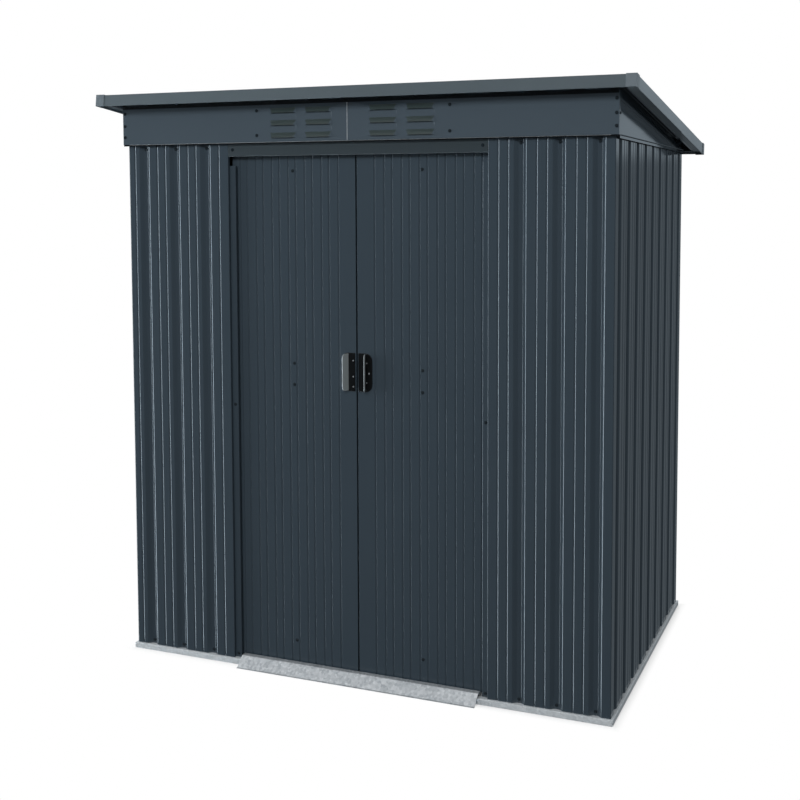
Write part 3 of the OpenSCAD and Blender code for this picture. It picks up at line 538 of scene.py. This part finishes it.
mixed = add(tree, "ShaderNodeMixShader", {0: seen.outputs[0], 1: grey_paper.outputs[0], 2: lit.outputs[0]})
tree.links.new(mixed.outputs[0], output.inputs["Surface"])
floor_mesh.materials.append(floor_paper)
floor.visible_glossy = False
# Gloss looks through the floor, so a grey plate under the shed shuts its inside off from the surround
plate_mesh = bpy.data.meshes.new("inner_plate")
plate_mesh.from_pydata(
    [(x, y, floor_z) for x, y in ((plan[0].x, plan[0].y), (plan[1].x, plan[0].y),
                                  (plan[1].x, plan[1].y), (plan[0].x, plan[1].y))],
    [], [(0, 1, 2, 3)])
plate_paper, tree, output = new_material("grey_inner_plate")
paper = add(tree, "ShaderNodeBsdfDiffuse", {"Color": linear("#7C7C7C")})
tree.links.new(paper.outputs[0], output.inputs["Surface"])
plate_mesh.materials.append(plate_paper)
plate = bpy.data.objects.new("inner_plate", plate_mesh)
plate.visible_camera = False
plate.visible_diffuse = False
plate.visible_shadow = False
bpy.context.scene.collection.objects.link(plate)

world = bpy.data.worlds.new("studio")
world.use_nodes = True
tree = world.node_tree
tree.nodes.clear()
output = add(tree, "ShaderNodeOutputWorld")
rays = add(tree, "ShaderNodeLightPath").outputs
seen = add(tree, "ShaderNodeMath",
           {0: rays["Is Camera Ray"], 1: rays["Is Transmission Ray"]}, operation="MAXIMUM")
look = add(tree, "ShaderNodeTexCoord").outputs["Generated"]
look = add(tree, "ShaderNodeSeparateXYZ", {"Vector": look}).outputs
# Gloss shows the pale backdrop behind the shed, the dimmer room in front of it, a bright ceiling
# and a tall lit panel on the left, whose reflection draws the bright lines along the folds
above = add(tree, "ShaderNodeMapRange", {
    "Value": look["Z"], "From Min": 0.035, "From Max": 0.045, "To Min": 0.2, "To Max": 0.58})
behind = add(tree, "ShaderNodeMapRange", {
    "Value": look["Y"], "From Min": -0.1, "From Max": 0.5}, interpolation_type="SMOOTHSTEP")
around = add(tree, "ShaderNodeMix", {0: behind.outputs["Result"], 2: 0.12, 3: above.outputs["Result"]})
overhead = add(tree, "ShaderNodeMapRange", {
    "Value": look["Z"], "From Min": 0.4, "From Max": 0.7}, interpolation_type="SMOOTHSTEP")
shown = add(tree, "ShaderNodeMix", {0: overhead.outputs["Result"], 2: around.outputs[0], 3: 1.0})
ambient = add(tree, "ShaderNodeBackground", {"Color": linear("#FFFFFF"), "Strength": 0.35})
level = add(tree, "ShaderNodeCombineXYZ", {"X": look["X"], "Y": look["Y"]})
heading = add(tree, "ShaderNodeVectorMath", {0: level.outputs["Vector"]}, operation="NORMALIZE")
low = add(tree, "ShaderNodeMapRange", {
    "Value": look["Z"], "From Min": 0.25, "From Max": 0.45, "To Min": 1.0, "To Max": 0.0},
    interpolation_type="SMOOTHSTEP")
along = add(tree, "ShaderNodeVectorMath",
            {0: heading.outputs["Vector"], 1: (-0.967, -0.256, 0.0)}, operation="DOT_PRODUCT")
panel = add(tree, "ShaderNodeMapRange", {
    "Value": along.outputs["Value"], "From Min": 0.965, "From Max": 0.985, "To Max": 14.0},
    interpolation_type="SMOOTHSTEP")
panel = add(tree, "ShaderNodeMath",
            {0: panel.outputs["Result"], 1: low.outputs["Result"]}, operation="MULTIPLY")
shown = add(tree, "ShaderNodeMath", {0: shown.outputs[0], 1: panel.outputs[0]}, operation="ADD")
shade = add(tree, "ShaderNodeMix", {
    0: overhead.outputs["Result"], 6: linear("#D8E9F5"), 7: linear("#FFFFFF")}, data_type="RGBA")
gloss = add(tree, "ShaderNodeBackground", {"Color": shade.outputs[2], "Strength": shown.outputs[0]})
white = add(tree, "ShaderNodeBackground", {"Color": linear("#FFFFFF"), "Strength": 1.0})
lit = add(tree, "ShaderNodeMixShader",
          {0: rays["Is Glossy Ray"], 1: ambient.outputs[0], 2: gloss.outputs[0]})
mixed = add(tree, "ShaderNodeMixShader", {0: seen.outputs[0], 1: lit.outputs[0], 2: white.outputs[0]})
tree.links.new(mixed.outputs[0], output.inputs["Surface"])
bpy.context.scene.world = world

middle = (Vector(cad_box[0]) + Vector(cad_box[1])) / 2


def soft_lamp(name, place, width, height, watts):
    """A softbox that faces the middle of the shed and stays out of its reflections."""
    data = bpy.data.lights.new(name, "AREA")
    data.shape = "RECTANGLE"
    data.size = width
    data.size_y = height
    data.energy = watts
    lamp = bpy.data.objects.new(name, data)
    lamp.location = place
    lamp.rotation_euler = (middle - Vector(place)).to_track_quat("-Z", "Y").to_euler()
    lamp.visible_camera = False
    lamp.visible_glossy = False
    bpy.context.scene.collection.objects.link(lamp)


soft_lamp("front_softbox", (0.6, -5.4, 3.7), 2.4, 1.4, 232)
soft_lamp("left_strip", (-4.6, -1.7, 1.3), 1.6, 3.4, 190)
soft_lamp("right_softbox", (4.6, 0.6, 3.0), 2.4, 2.4, 65)
soft_lamp("rear_softbox", (-1.2, 5.2, 3.2), 2.4, 2.4, 150)

# Camera: the photograph's own standpoint, fitted to its edges, with the lens shifted and not tilted up.
azimuth = radians(20.974)
elevation = radians(3.888)
data = bpy.data.cameras.new("photo_camera")
data.sensor_width = 36.0
data.lens = 51.12
data.shift_x = -0.0721
data.shift_y = -0.1503
camera = bpy.data.objects.new("photo_camera", data)
camera.location = (1.4554, -3.4356, 1.4194)
towards_camera = Vector((sin(azimuth) * cos(elevation), -cos(azimuth) * cos(elevation), sin(elevation)))
camera.rotation_euler = towards_camera.to_track_quat("Z", "Y").to_euler()
bpy.context.scene.collection.objects.link(camera)
bpy.context.scene.camera = camera
bpy.context.scene.view_settings.view_transform = "Standard"

bpy.context.view_layer.update()
